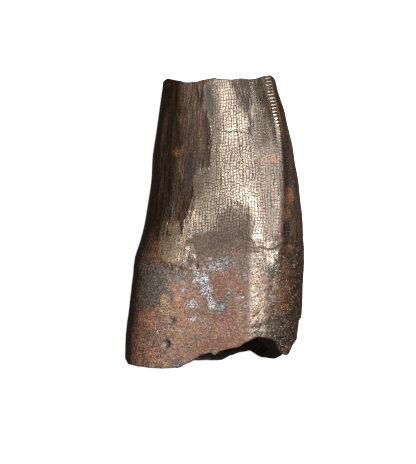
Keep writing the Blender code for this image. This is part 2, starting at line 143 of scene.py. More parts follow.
# Pits: (x, height, diameter, depth).
PITS = [(-7.05, -18.0, 1.25, 0.45), (-2.7, -6.5, 0.55, 0.35), (-6.15, -14.55, 0.9, 0.28)]

# The pulp cavity tapers from the broken base to a point inside the crown.
WALL = 2.5
CAVITY_MOUTH, CAVITY_APEX = -21.0, 3.5
CAVITY_TAPER = 0.72
# How far the mouth's inner edge lies above the outer one, against the turn in degrees.
INNER_EDGE_RISE = [
    (0, 1.2), (35, 1.6), (60, 0.8), (80, 0.5), (180, 0.4), (300, 0.35), (330, 0.7), (360, 1.2),
]

REST_FLAT = 0.14  # how much of the labial face's lowest line is worn flat
RAGGED = 0.10  # how far the edges of the breaks waver


def smooth(stations, at):
    """Cubic curve through (place, value) stations, flat beyond its ends."""
    xs, ys = (np.array(v, float) for v in zip(*stations))
    slopes = np.gradient(ys, xs)
    at = np.clip(np.asarray(at, float), xs[0], xs[-1])
    i = np.clip(np.searchsorted(xs, at) - 1, 0, len(xs) - 2)
    span = xs[i + 1] - xs[i]
    t = (at - xs[i]) / span
    return (
        ys[i] * (1 + 2 * t) * (1 - t) ** 2
        + ys[i + 1] * t * t * (3 - 2 * t)
        + span * (slopes[i] * t * (1 - t) ** 2 - slopes[i + 1] * t * t * (1 - t))
    )


def straight(stations, at):
    """Straight lines through (place, value) stations."""
    xs, ys = zip(*stations)
    return np.interp(at, xs, ys)


def ramp(at, start, end):
    """0 before start, 1 after end, with a smooth rise between."""
    t = np.clip((at - start) / (end - start), 0, 1)
    return t * t * (3 - 2 * t)


def section(height, turn):
    """(x, z) of the plain cross-section at a height, for a turn in radians from the mesial edge."""
    height, turn = np.broadcast_arrays(np.asarray(height, float), np.asarray(turn, float))
    left, right = smooth(DISTAL_EDGE, height), smooth(MESIAL_EDGE, height)
    thick = smooth(THICKNESS, height)
    c, s = np.cos(turn), np.sin(turn)
    lingual = ramp(s, -0.35, 0.35)
    mesial = ramp(c, -0.3, 0.3)
    n = smooth(DISTAL_SQUARENESS, height) * (1 - mesial) + smooth(MESIAL_SQUARENESS, height) * mesial
    n = LABIAL_SQUARENESS + (n - LABIAL_SQUARENESS) * lingual
    radius = (np.abs(c) ** n + np.abs(s) ** n) ** (-1 / n)
    across, out = radius * c, radius * s
    rise = np.where(out > 0, 1 - WIDEST_SHARE, WIDEST_SHARE) * thick
    x = (left + right) / 2 + (right - left) / 2 * across
    x = x + smooth(CREST_LEAN, height) * np.maximum(out, 0) ** 2
    return x, WIDEST_SHARE * thick + rise * out - REST_FLAT


def crest_turns():
    """(heights, turns): the turn at which the mesial carina's inset from the mesial edge is met."""
    turns = np.radians(np.arange(4.0, 80.0, 1.0))
    heights = np.linspace(LOWEST, HIGHEST, 60)
    wanted = smooth(MESIAL_EDGE, heights) - smooth(MESIAL_INSET, heights)
    found = [np.interp(-x, -section(h, turns)[0], turns) for h, x in zip(heights, wanted)]
    return heights, np.array(found)


CREST_TURNS = crest_turns()


def mesial_turn(height):
    """The turn of the mesial carina."""
    return np.interp(height, *CREST_TURNS)


def turn_of(height, share):
    """The turn of a column: share 0 to 1 crosses the lingual face from the mesial carina to the distal one,
    and 1 to 2 comes back over the labial face."""
    start = mesial_turn(height)
    first = start + (DISTAL_ANGLE - start) * share
    second = DISTAL_ANGLE + (start + 2 * math.pi - DISTAL_ANGLE) * (share - 1)
    return np.where(share <= 1, first, second)


def outward(height, turn):
    """Unit normal (x, z) of the plain cross-section."""
    step = 0.01
    x0, z0 = section(height, turn - step)
    x1, z1 = section(height, turn + step)
    dx, dz = x1 - x0, z1 - z0
    length = np.hypot(dx, dz)
    return dz / length, -dx / length


def denticles(height, start):
    """1 on a denticle's tip and less in the notches, which fade in around start."""
    low, high = DENTICLE_FADE
    notch = (0.5 - 0.5 * np.cos(2 * math.pi * height / DENTICLE_PITCH)) ** 1.5
    return 1 - DENTICLE_CUT * ramp(height, start + low, start + high) * notch


def keel(height, x, z, crest_turn, stations, start):
    """Rise of a carina at points of the section, with its denticles."""
    crest_x, crest_z = section(height, crest_turn)
    away = np.hypot(x - crest_x, z - crest_z)
    rise = smooth(stations, height) * np.exp(-((away / KEEL_SPREAD) ** 2))
    return rise * denticles(height, start)


def lumps(x, height, z):
    """Slow unevenness of a grown and buried surface."""
    wide = 0.06 * np.sin(0.55 * height + 0.4 * x) * np.cos(0.5 * x - 0.3 * z)
    return wide + 0.04 * np.sin(1.1 * height - 0.7 * x + 0.5 * z)


def relief(height, turn, x, z):
    """How far the finished surface stands out from the plain section."""
    degrees = np.degrees(turn) % 360
    lingual = ramp(np.sin(turn), 0.0, 0.35)
    out = keel(height, x, z, mesial_turn(height), MESIAL_KEEL, MESIAL_DENTICLES_FROM)
    out += keel(height, x, z, DISTAL_ANGLE, DISTAL_KEEL, DISTAL_DENTICLES_FROM)
    edge = straight(ENAMEL_EDGE, degrees)
    below = np.maximum(edge - height, 0)
    root = ramp(edge - height, 0, ENAMEL_LIP)
    out -= smooth(ENAMEL_STEP, degrees) * root * np.exp(-below / ENAMEL_FADE)
    for line, rise, spread in RIDGES:
        out += lingual * smooth(rise, height) * np.exp(-(((x - smooth(line, height)) / spread) ** 2))
    crest_x, crest_z = section(height, mesial_turn(height))
    spread = np.where(np.sin(turn - mesial_turn(height)) < 0, FLANGE_DROP, FLANGE_SPREAD)
    flange = np.exp(-(((x - crest_x) ** 2 + (z - crest_z) ** 2) / spread**2))
    out += smooth(FLANGE_RISE, height) * flange
    hollow = np.exp(-(((x - smooth(HOLLOW_X, height)) / smooth(HOLLOW_SPREAD, height)) ** 4))
    out -= lingual * smooth(HOLLOW_DEPTH, height) * hollow
    flake = ramp(straight(FLAKE_EDGE, x) - height, -0.1, 0.4) * ramp(np.sin(turn), -0.5, -0.1)
    return out - smooth(FLAKE_DEPTH, x) * flake + (1 - 0.7 * lingual) * lumps(x, height, z)


def cavity_point(height, turn):
    """Point of the pulp cavity's wall."""
    left, right = smooth(DISTAL_EDGE, CAVITY_MOUTH) + WALL, smooth(MESIAL_EDGE, CAVITY_MOUTH) - WALL
    thick = smooth(THICKNESS, CAVITY_MOUTH) - 2 * WALL
    taper = np.clip((CAVITY_APEX - height) / (CAVITY_APEX - CAVITY_MOUTH), 0, 1.2) ** CAVITY_TAPER
    middle = (smooth(DISTAL_EDGE, height) + smooth(MESIAL_EDGE, height)) / 2
    x = middle + (right - left) / 2 * taper * np.cos(turn)
    z = WIDEST_SHARE * smooth(THICKNESS, height) + thick / 2 * taper * np.sin(turn)
    return np.stack([x, height + 0 * x, z], -1)


def broken_edge(lingual, labial, height, share, seed):
    """Height of a break's edge at a column, from its lingual or labial outline, a little ragged."""
    turn = turn_of(height, share)
    x = section(height, turn)[0]
    return straight(lingual if np.sin(turn) > 0 else labial, x) + RAGGED * noise.noise((x * 0.9, seed, 3.1))


# --- The fine surface: how far it stands out from the form above, in millimetres ---


def lattice(points, seed):
    """Smooth noise from 0 to 1 over an array of points."""
    points = np.asarray(points, float)
    low = np.floor(points).astype(np.int64)
    part = points - low
    part = part * part * (3 - 2 * part)
    total = np.zeros(points.shape[:-1])
    for corner in range(8):
        bits = np.array([corner & 1, corner >> 1 & 1, corner >> 2 & 1])
        cell = low + bits
        key = cell[..., 0] * 73856093 ^ cell[..., 1] * 19349663 ^ cell[..., 2] * 83492791 ^ seed * 2654435
        key = (key ^ (key >> 13)) * 1274126177
        key = (key ^ (key >> 16)) & 0xFFFF
        weight = np.prod(np.where(bits == 1, part, 1 - part), axis=-1)
        total = total + weight * key / 65535
    return total


def layered(points, seed, layers=3):
    """Several scales of lattice noise, from -1 to 1."""
    total, size, whole = 0.0, 1.0, 0.0
    for k in range(layers):
        total = total + size * (2 * lattice(points * 2**k, seed + 17 * k) - 1)
        whole += size
        size *= 0.5
    return total / whole


def at(*parts):
    """Points from their coordinates."""
    return np.stack(np.broadcast_arrays(*parts), -1)


FACE_PIXEL = 0.1469  # millimetres of the lingual face to a pixel of the photograph
ORIGIN_AT = (214.43, 221.3)  # column and row of the outline's origin


def px(column, row):
    """(x, height) of the place on the lingual face that lies at a column and row of the photograph."""
    return (column - ORIGIN_AT[0]) * FACE_PIXEL, (ORIGIN_AT[1] - row) * FACE_PIXEL


def near_line(x, y, line):
    """Distance in millimetres from each point to a line of places."""
    best = np.full(np.shape(x), np.inf)
    line = [px(*p) for p in line]
    for (ax, ay), (bx, by) in zip(line, line[1:]):
        dx, dy = bx - ax, by - ay
        t = np.clip(((x - ax) * dx + (y - ay) * dy) / (dx * dx + dy * dy), 0, 1)
        best = np.minimum(best, np.hypot(x - ax - t * dx, y - ay - t * dy))
    return best


# Grooves in the lingual face: (places as px takes them, half width, depth).
GROOVES = [
    ([(206, 84), (207, 92), (209, 100)], 0.11, 0.07),
    ([(211.5, 100), (212.5, 105), (211, 114)], 0.16, 0.07),
    ([(254.5, 315.5), (260, 311)], 0.10, 0.06),
    ([(193, 211), (188, 236), (181.6, 261)], 0.16, -0.05),
]

# Hairline cracks: (places, half width).
CRACKS = [
    ([(206, 82), (207, 92), (209, 101), (209.6, 118)], 0.06),
    ([(208.6, 88), (211.5, 100), (213, 106), (211, 118)], 0.05),
    ([(209.6, 118), (209.4, 134), (208.6, 152)], 0.03),
    ([(220.5, 168), (220.2, 188), (219, 202), (216.5, 224)], 0.035),
    ([(243, 172), (243.6, 186)], 0.025),
    ([(248.4, 206), (248.8, 221)], 0.03),
    ([(217, 129), (226, 131), (238, 130), (250, 133)], 0.03),
    ([(236.5, 104), (237.5, 128), (241, 156)], 0.035),
    ([(249.5, 128), (252, 160), (253.5, 176)], 0.03),
    ([(223.5, 110), (224, 150)], 0.03),
    ([(254, 315.8), (260.5, 310.6)], 0.06),
    ([(170.3, 274), (178.7, 273.5), (187, 271), (192, 269)], 0.04),
    ([(206, 160), (207, 186)], 0.03),
    # A small pit drawn as a short dark line: painted shade for a hole too small for the mesh.
    ([(195.6, 265.0), (196.8, 265.8)], 0.13),
]

# Bright lines painted along sharp edges as highlights: (places, half width).
PAINTED_HIGHLIGHT_LINES = [
    ([(194, 211), (187.5, 227), (184.5, 241)], 0.055),
    ([(184.5, 241), (183, 248), (182, 257)], 0.03),
    ([(220.8, 150), (219.6, 176), (218.6, 196)], 0.03),
]

MM_PER_DEGREE = 0.2  # around the section, near enough for noise


def fine_relief(height, turn, x, z, edge):
    """Detail too fine for the form: grain, grooves, pits, the flaked corner and the rough root."""
    across = np.degrees(turn) * MM_PER_DEGREE
    enamel = ramp(height - edge, -0.1, 0.1)
    lingual = ramp(np.sin(turn), 0.0, 0.2)
    grain = layered(at(across * 2.4, height * 0.16, 0 * x), 3)
    slow = layered(at(across * 0.55, height * 0.10, 0 * x), 5, 2)
    out = enamel * (0.012 * grain + 0.02 * slow)
    body = at(x, height, z)
    rough = layered(body * 1.6, 7, 4)
    lumpy = layered(body * 0.35, 11, 2)
    pocks = ramp(layered(body * 2.2, 23, 2), 0.30, 0.62)
    out += (1 - enamel) * (0.035 * rough + 0.05 * lumpy - 0.05 * pocks)
    flaked = ramp(straight(FLAKE_EDGE, x) - height, 0.0, 0.4) * ramp(x, 4.5, 6.5) * lingual
    out += flaked * 0.09 * layered(at(x * 3.0 - height * 0.8, height * 1.3, z), 29, 4)
    for cx, cy, wide, deep in PITS:
        away = np.hypot(x - cx, (height - cy) * (1.0 if wide > 1 else 1.15)) / (wide / 2)
        inside = np.clip(1 - away**2, 0, 1) ** 0.6
        out -= lingual * deep * inside * (1 - 0.35 * np.abs(layered(body * 5.0, 37, 2)))
    for line, half, depth in GROOVES:
        out -= lingual * depth * np.exp(-((near_line(x, height, line) / half) ** 2))
    return out


# --- The mesh: columns around the tooth, each a list of heights, with finer rows along the carinae ---

CREST_SHARES = [0.0035, 0.007, 0.0105, 0.014, 0.0175, 0.021, 0.0245, 0.028]  # columns beside each carina
LABIAL_CREST = 6  # how many of those the labial side has
LINGUAL_SHARES = np.linspace(0.034, 0.966, 150)
LABIAL_SHARES = np.linspace(0.036, 0.964, 76)
ROOT_ROWS, CROWN_ROWS = 78, 132
FINE_STEPS = 4  # rows of a carina to each row of the crown
RIM_RINGS, CAVITY_ROWS, TIP_RINGS = 8, 44, 26
BASE_AT, EDGE_AT, TIP_AT = -19.5, -4.0, 21.0  # where a column's turn is read for its three places
OUTSIDE, BREAK, CAVITY = 0.0, 1.0, 2.0  # values of the region attribute

# How far the rings bulge unevenly and sink, in millimetres.
RIM_BUMPS, RIM_SINK = 0.28, 0.10
TIP_BUMPS, TIP_SINK, TIP_DROP, TIP_CENTRE = 0.22, 0.12, 0.35, 0.12
CAVITY_BUMPS = 0.06  # as a share of its width


def column_shares():
    """(share, height from which it has denticles) of each column, the mesial crest first."""
    mesial, distal, plain = MESIAL_DENTICLES_FROM, DISTAL_DENTICLES_FROM, math.inf
    labial_crest = CREST_SHARES[:LABIAL_CREST]
    columns = [(0.0, mesial)] + [(s, mesial) for s in CREST_SHARES]
    columns += [(s, plain) for s in LINGUAL_SHARES]
    columns += [(1 - s, distal) for s in reversed(CREST_SHARES)] + [(1.0, distal)]
    columns += [(1 + s, distal) for s in labial_crest]
    columns += [(1 + s, plain) for s in LABIAL_SHARES]
    return columns + [(2 - s, mesial) for s in reversed(labial_crest)]


def build_columns():
    """(share, heights, numbers of its coarse rows, height of the enamel's edge) of every column."""
    columns = []
    for share, toothed_from in column_shares():
        base = broken_edge(LINGUAL_BASE, LABIAL_BASE, BASE_AT, share, 0.0)
        tip = broken_edge(LINGUAL_TIP, LABIAL_TIP, TIP_AT, share, 7.0)
        edge = float(straight(ENAMEL_EDGE, np.degrees(turn_of(EDGE_AT, share)) % 360))
        root = np.linspace(base, edge - ENAMEL_LIP, ROOT_ROWS)
        heights = np.concatenate([root, np.linspace(edge, tip, CROWN_ROWS)])
        fine, rows = [heights[0]], [0]
        for low, high in zip(heights, heights[1:]):
            steps = FINE_STEPS if low > toothed_from + DENTICLE_FADE[0] else 1
            fine += [low + (high - low) * k / steps for k in range(1, steps + 1)]
            rows.append(len(fine) - 1)
        columns.append((share, np.array(fine), rows, edge))
    return columns


def zip_columns(faces, left, right):
    """Faces between two columns of vertex numbers, each a list for each row interval."""
    for a, b in zip(left, right):
        if len(a) == len(b):
            faces += [(a[k], b[k], b[k + 1], a[k + 1]) for k in range(len(a) - 1)]
            continue
        few, many, flip = (a, b, False) if len(a) < len(b) else (b, a, True)
        half = len(many) // 2
        fans = [(few[0], many[k], many[k + 1]) for k in range(half)]
        fans.append((few[0], many[half], few[1]))
        fans += [(few[1], many[k], many[k + 1]) for k in range(half, len(many) - 1)]
        faces += [fan[::-1] if flip else fan for fan in fans]


def bridge(faces, lower, upper):
    """Faces between two rings of vertex numbers, or between a ring and the one vertex that closes it."""
    count = max(len(lower), len(upper))
    for k in range(count):
        after = (k + 1) % count
        if len(lower) == 1:
            faces.append((upper[after], upper[k], lower[0]))
        elif len(upper) == 1:
            faces.append((lower[k], lower[after], upper[0]))
        else:
            faces.append((lower[k], lower[after], upper[after], upper[k]))


def add_object(name, data):
    made = bpy.data.objects.new(name, data)
    scene.collection.objects.link(made)
    return made


def build_tooth():
    """The tooth's object, and the values that its attributes are made from."""
    columns = build_columns()
    sizes = [len(c[1]) for c in columns]
    starts = np.cumsum([0] + sizes)
    height = np.concatenate([c[1] for c in columns])
    share = np.repeat([c[0] for c in columns], sizes)
    edge = np.repeat([c[3] for c in columns], sizes)
    turn = turn_of(height, share)
    x, z = section(height, turn)
    nx, nz = outward(height, turn)
    out = relief(height, turn, x, z) + fine_relief(height, turn, x, z, edge)
    outer = np.stack([x + nx * out, height, np.maximum(z + nz * out, 0)], -1)
    points, region, faces = [outer], [np.full(len(outer), OUTSIDE)], []
    spans = [
        [list(range(start + a, start + b + 1)) for a, b in zip(rows, rows[1:])]
        for start, (_, _, rows, _) in zip(starts, columns)
    ]
    for left, right in zip(spans, spans[1:] + spans[:1]):
        zip_columns(faces, left, right)

    def lay(previous, ring, kind, upward=False):
        """Add a ring and the faces between it and the one before, and give its vertex numbers."""
        first = sum(len(p) for p in points)
        now = list(range(first, first + len(ring)))
        points.append(ring)
        region.append(np.full(len(ring), kind))
        bridge(faces, *((previous, now) if upward else (now, previous)))
        return now

    # The broken rim of the base, then the pulp cavity up to its apex.
    ring_turn = turn_of(BASE_AT, np.array([c[0] for c in columns]))
    last = starts[:-1].tolist()
    rim = outer[last]
    mouth = rim[:, 1] + smooth(INNER_EDGE_RISE, np.degrees(ring_turn) % 360)
    inner = cavity_point(mouth, ring_turn)
    for k in range(1, RIM_RINGS + 1):
        t = k / RIM_RINGS
        ring = rim * (1 - t) + inner * t
        bump = layered(ring * 0.9, 31, 4) * RIM_BUMPS * math.sin(math.pi * min(t, 0.92)) ** 0.7
        ring[:, 1] += bump - RIM_SINK * math.sin(math.pi * t)
        last = lay(last, ring, BREAK)
    for k in range(1, CAVITY_ROWS):
        climb = (k / CAVITY_ROWS) ** 1.25
        ring = cavity_point(mouth + (CAVITY_APEX - mouth) * climb, ring_turn)
        ring = ring + (ring - ring.mean(0)) * (CAVITY_BUMPS * layered(ring * 0.8, 41, 3))[:, None]
        last = lay(last, ring, CAVITY)
    lay(last, cavity_point(np.array([CAVITY_APEX]), np.array([0.0])), CAVITY)

    # The broken face of the tip, from its border to its middle.
    last = (starts[1:] - 1).tolist()
    border = outer[last]
    middle = border.mean(0) - [0, TIP_DROP, 0]
    for k in range(1, TIP_RINGS):
        t = k / TIP_RINGS
        ring = middle + (border - middle) * (1 - t)
        ring[:, 1] = middle[1] + (border[:, 1] - middle[1]) * (1 - t) ** 1.6
        bump = TIP_BUMPS * layered(ring * 0.8, 53, 4) * math.sin(math.pi / 2 * min(1, 3 * t))
        ring[:, 1] += bump - TIP_SINK * min(1, 4 * t)
        last = lay(last, ring, BREAK, upward=True)
    lay(last, middle[None] - [[0, TIP_CENTRE, 0]], BREAK, upward=True)

    points = np.concatenate(points)
    mesh = bpy.data.meshes.new("fossil_tooth")
    mesh.from_pydata(((points - np.array(MIDDLE)) * MM).tolist(), [], faces)
    mesh.update()
    mesh.shade_smooth()
    return add_object("fossil_tooth", mesh), outer, height, share, turn, edge, np.concatenate(region)


# --- Stains, crusts, worn places and painted shade ---

# (Column and row as px takes them, half width and half height in millimetres, strength, and the turn in
# degrees if there is one.)
STAINS_AND_SHADE = {
    "blue_black": [
        (191, 168, 0.8, 1.7, 0.75, 4), (208, 94, 0.6, 1.7, 1.1), (211, 104, 0.7, 1.6, 1.2, 4),
        (205, 104, 0.5, 0.6, 0.7), (186, 184, 0.6, 1.2, 0.5), (252, 105, 2.2, 2.4, 0.35),
        (213, 168, 0.7, 1.6, 0.4),
    ],
    # Dark streaks, and painted shade where the highlight is dimmed.
    "dark_streaks_and_shade": [
        (251, 88, 2.4, 3.4, 1.1), (260, 109, 1.7, 3.6, 1.2), (243, 80, 2.0, 1.6, 0.9),
        (261, 130, 1.6, 3.2, 1.25), (207, 196, 0.5, 2.5, 0.5), (205, 172, 0.6, 2.0, 0.5),
        (274, 119, 1.4, 4.8, 1.15), (222, 80, 2.6, 0.8, 0.6), (209, 182, 0.8, 2.6, 0.8, 15),
        (208, 128, 0.7, 6.5, 0.75), (186, 140, 0.8, 8.0, 0.5), (192, 160, 1.6, 8.0, 0.55),
        (182, 200, 1.2, 3.4, 0.5),
    ],
    "dull": [
        (231, 230, 2.1, 2.9, 1.3), (223, 246, 4.4, 2.1, 1.3, -6), (205, 256, 1.6, 1.3, 1.0, 20),
        (238, 250, 2.2, 1.6, 1.0), (190, 262, 0.9, 1.0, 0.8, 20), (237, 206, 1.4, 0.8, 0.55),
        (277, 241, 0.9, 1.5, 0.8),
    ],
    "brushed": [
        (209, 209, 1.6, 5.0, 1.3, 12), (200, 232, 1.2, 2.0, 1.0, 20), (217, 134, 0.6, 7.5, 1.15),
        (208, 183, 1.9, 1.9, 1.2, 10),
    ],
    "pale": [(271, 200, 1.1, 8.0, 0.9), (270, 160, 0.7, 2.4, 0.6), (270, 232, 1.2, 2.2, 0.8)],
    "rust": [
        (165, 82, 0.8, 0.5, 0.7), (176, 152, 0.7, 0.7, 0.55), (180, 118, 0.4, 1.3, 0.45),
        (258, 108, 0.5, 0.6, 0.6), (274.5, 158, 0.7, 0.6, 1.0), (273, 186, 0.4, 0.5, 0.6),
        (291, 196, 0.8, 1.8, 0.62, -10), (288, 214, 0.6, 1.2, 0.55), (155, 250, 1.0, 2.2, 0.6, 14),
        (149, 240, 0.5, 2.0, 0.4, 10), (291, 249, 0.8, 0.6, 0.8), (174, 296, 1.6, 1.1, 1.0),
        (180, 288, 0.9, 0.9, 0.7), (194, 296, 1.8, 2.0, 0.6), (182, 308, 1.9, 0.9, 0.8),
        (146, 320, 1.6, 1.6, 0.9), (137, 345, 1.0, 3.6, 0.9), (150, 352, 1.5, 2.2, 0.6),
        (196, 322, 3.0, 1.3, 0.8), (214, 326, 4.4, 1.7, 0.8, 4), (222, 338, 3.6, 1.3, 0.8, 8),
        (207, 346, 2.5, 1.0, 0.7, 10), (236, 326, 1.8, 1.5, 0.4), (283, 298, 1.4, 3.0, 0.7),
        (272, 290, 1.2, 1.6, 0.5), (180, 345, 2.6, 2.4, 0.5), (236, 294, 1.4, 2.6, 0.6),
        (228, 262, 0.6, 0.4, 0.5), (286, 268, 0.8, 2.6, 0.6), (158, 262, 0.5, 0.3, 0.6),
        (289, 290, 0.8, 3.0, 0.6), (246, 304, 0.8, 1.6, 0.6), (232, 283, 2.4, 2.4, 0.75),
        (236, 316, 1.6, 1.2, 0.7),
    ],
    "red_brown": [
        (230.5, 274, 0.9, 1.0, 1.0), (239, 288, 0.7, 1.3, 0.8, 20), (219.5, 289, 1.15, 1.7, 1.1),
        (230, 311, 0.65, 0.7, 0.9), (223, 318, 1.8, 0.5, 0.9), (217, 345, 3.4, 1.1, 0.9, 10),
        (206, 272, 0.7, 0.35, 0.8), (228, 322, 0.8, 0.7, 0.7),
    ],
    "grey": [
        (152, 283, 2.4, 2.6, 1.0, 12), (172, 272, 2.8, 1.0, 1.0, -10), (146, 270, 1.2, 1.4, 0.8),
        (149, 301, 1.7, 0.8, 1.2), (222, 307, 0.9, 1.0, 1.0), (222, 262, 1.7, 1.4, 0.8),
        (242, 262, 2.4, 1.8, 0.7), (259, 256, 1.2, 1.2, 0.7), (273, 261, 1.6, 2.2, 1.1),
        (228, 296, 0.5, 1.3, 0.9), (213, 262, 1.4, 1.0, 0.5), (178, 363, 0.9, 0.6, 1.0),
        (188, 314, 1.3, 0.5, 0.5), (247, 246, 1.0, 0.4, 0.6), (272, 250, 1.3, 1.4, 0.9),
        (171, 296, 0.6, 1.0, 0.8), (180, 272, 2.0, 0.9, 0.9, 20),
    ],
    "flaked": [
        (262, 329, 1.4, 0.9, 1.0, 10), (272, 329, 2.0, 1.3, 1.2, 8), (285, 330, 2.4, 2.0, 1.3),
        (294, 326, 1.4, 1.6, 1.2), (286, 344, 1.2, 1.4, 1.0), (254, 332, 1.0, 0.6, 0.7, 30),
    ],
    "tan": [
        (170, 250, 1.7, 2.2, 0.9, 12), (175, 231, 1.0, 1.5, 0.8), (160, 250, 0.8, 1.4, 0.4, 12),
        (186, 232, 0.6, 3.4, 0.7, -12), (182, 255, 0.35, 1.3, 0.9, -8), (166, 300, 1.5, 1.2, 0.6),
        (180, 330, 2.6, 1.4, 0.5), (168, 312, 1.2, 0.6, 0.8), (229, 345, 0.5, 0.3, 1.0),
        (262, 304, 1.3, 2.0, 0.6), (265, 318, 1.4, 0.8, 0.7), (160, 362, 2.2, 0.6, 0.6),
        (241, 316, 0.9, 0.9, 0.6),
    ],
    "crust": [
        (202, 278, 1.2, 1.0, 1.02, -30), (207, 290, 0.8, 1.0, 0.91), (210, 298, 0.5, 0.9, 0.87, 20),
        (195, 281, 0.6, 0.8, 0.76), (184, 290, 0.45, 0.7, 0.84), (192, 304, 0.9, 0.7, 0.95, -30),
        (213, 306, 0.7, 0.6, 0.95), (197, 271, 0.6, 0.5, 0.91), (195.5, 263, 0.35, 0.25, 0.99),
        (208, 258, 1.2, 0.35, 0.72), (216, 266, 1.8, 1.1, 0.64), (226, 262, 1.2, 1.2, 0.56),
        (181, 280, 1.0, 1.0, 0.56), (205, 270, 1.0, 0.6, 0.61), (221, 306, 0.7, 0.8, 0.64),
        (229, 290, 0.4, 1.4, 0.61), (193, 318, 1.2, 0.3, 0.76), (240, 296.5, 0.9, 0.16, 0.91),
        (158, 331, 0.35, 0.6, 0.72), (273, 297, 0.6, 0.4, 0.53), (208, 103, 0.4, 1.2, 0.38),
        (243, 276, 0.7, 0.9, 0.56), (204, 324, 1.3, 0.9, 0.46), (245, 306, 0.5, 0.4, 0.64),
        (178, 364, 0.7, 0.4, 0.53), (187, 330, 0.4, 0.4, 0.53),
    ],
}


def stain_and_shade_masks(points, turn):
    """One value for each point and each kind, of stains and of painted shade, from 0 to 1."""
    x = points[:, 0] + 0.5 * layered(points * 1.1, 61, 4)
    y = points[:, 1] + 0.5 * layered(points * 1.1, 67, 4)
    lingual = ramp(np.sin(turn), -0.15, 0.15)
    masks = {}
    for kind, spots in STAINS_AND_SHADE.items():
        mask = np.zeros(len(points))
        for column, row, wide, tall, strength, *degrees in spots:
            cx, cy = px(column, row)
            tilt = math.radians(sum(degrees))
            c, s = math.cos(tilt), math.sin(tilt)
            u = ((x - cx) * c + (y - cy) * s) / wide
            v = (-(x - cx) * s + (y - cy) * c) / tall
            mask = np.maximum(mask, strength * np.exp(-0.7 * (u * u + v * v) ** 1.2))
        masks[kind] = mask * lingual
    return masks


# --- What the material reads from the mesh ---

FACE_WIDTH = 34  # millimetres around the lingual face, from carina to carina
INNER_EDGE = -9.0  # height over the enamel's edge on the inner surfaces, so that they count as root

tooth, outer, high, share, turn, enamel_from, region_of = build_tooth()
mesh = tooth.data
sine = np.sin(turn)  # above 0 on the lingual side

# The mesial carina: near its crest, then its denticles' tips, which get a painted highlight, and the slits
# between them, which get painted shade.
crest_away = np.minimum(share, 2 - share) * FACE_WIDTH
teeth = denticles(high, MESIAL_DENTICLES_FROM)
near_crest = np.exp(-((crest_away / 0.30) ** 2)) * ramp(high, 13.0, 15.0)
toothed = near_crest * ramp(high, 15.6, 17.6)

# The orange stripe past the denticles, and the two steep flanks, which get painted shade.
beyond = np.where(share > 1.5, crest_away, -1.0)
stripe = np.exp(-(((beyond - 0.58) / 0.42) ** 2)) * ramp(high, 12.0, 14.0)
shoulder = smooth(RIDGES[0][0], high) - outer[:, 0]
distal_flank = ramp(shoulder, -1.1, 0.9) * ramp(np.cos(turn - 3.3), -0.2, 0.3) * ramp(high, -3.5, 0.5)
mesial_flank = ramp(beyond, 0.0, 0.5) * ramp(np.cos(turn - 2 * math.pi), -0.2, 0.3)

pit = np.zeros(len(outer))
for cx, cy, wide, _ in PITS:
    away = np.hypot(outer[:, 0] - cx, outer[:, 1] - cy) / (wide / 2)
    pit = np.maximum(pit, ramp(away, 1.15, 0.75) * ramp(sine, 0.0, 0.2))

attributes = {
    "across": share * FACE_WIDTH,
    # Whole millimetres, so that enamel and root mix within 1 mm of the edge.
    "edge": (high - enamel_from).astype(int),
    "region": region_of,
    "lingual": ramp(sine, 0.0, 0.1),
    "under": ramp(sine, -0.25, -0.75),
    **stain_and_shade_masks(outer, turn),
    "crest": near_crest,
    "painted_bead_highlight": toothed * ramp(teeth, 0.6, 1.0),
    "painted_slit_shade": toothed * (1 - ramp(teeth, 0.5, 0.9)),
    "stripe": stripe,
    "flank": np.maximum(distal_flank, mesial_flank),
    "far_out": np.maximum(ramp(shoulder, 0.8, 3.4), ramp(beyond, 0.6, 3.0)),
    "pit": pit,
}
for name, values in attributes.items():
    # The outer surface comes first, and the inner ones get one value.
    full = np.full(len(mesh.vertices), INNER_EDGE if name == "edge" else 0.0)
    full[: len(values)] = values
    layer = mesh.attributes.new(name, "FLOAT", "POINT")
    layer.data.foreach_set("value", np.asarray(full, np.float32))

# --- Material: functions that make its nodes ---

material = bpy.data.materials.new("fossil_enamel")
material.use_nodes = True
tree = material.node_tree
shader = tree.nodes["Principled BSDF"]


def add(kind, inputs=(), out=0, **settings):
    """A shader node with its settings and inputs, as one of its outputs."""
    made = tree.nodes.new("ShaderNode" + kind)
    for key, value in settings.items():
        setattr(made, key, value)
    for key, value in dict(inputs).items():
        if isinstance(value, bpy.types.NodeSocket):
            tree.links.new(value, made.inputs[key])
        else:
            made.inputs[key].default_value = value
    return made.outputs[out]


def maths(operation, *values):
    return add("Math", enumerate(values), operation=operation)


def times(*values):
    return reduce(lambda a, b: maths("MULTIPLY", a, b), values)


def plus(*values):
    return reduce(lambda a, b: maths("ADD", a, b), values)


minus, most = partial(maths, "SUBTRACT"), partial(maths, "MAXIMUM")


def rise(value, low, high, to_low=0.0, to_high=1.0):
    """A smooth step between two values, as another value goes from low to high."""
    inputs = {0: value, 1: low, 2: high, 3: to_low, 4: to_high}
    return add("MapRange", inputs, interpolation_type="SMOOTHSTEP")


def between(mask, first, second):
    """The first value where a mask is 0 and the second where it is 1."""
    return rise(mask, 0.0, 1.0, first, second)


def swing(value, size):
    """Noise from 0 to 1, made to swing about 0."""
    return times(minus(value, 0.5), size)


def off_half(value):
    return maths("ABSOLUTE", minus(value, 0.5))


def halves(first, second):
    return plus(times(first, 0.5), times(second, 0.5))


def vectors(operation, first, second, out=0):
    return add("VectorMath", {0: first, 1: second}, out, operation=operation)


def shade(colour, amount):
    """A colour, or any other vector, times a number."""
    return add("VectorMath", {0: colour, "Scale": amount}, operation="SCALE")


def mix(share, first, second):
    """A colour between two, each a socket or an (r, g, b)."""
    first, second = (c if isinstance(c, bpy.types.NodeSocket) else (*c, 1) for c in (first, second))
    return add("Mix", {0: share, 6: first, 7: second}, out=2, data_type="RGBA")


def laid(tone, mask, share, colour):
    """A tone with a colour laid over a share of it where a mask is 1."""
    return mix(times(mask, share), tone, colour)


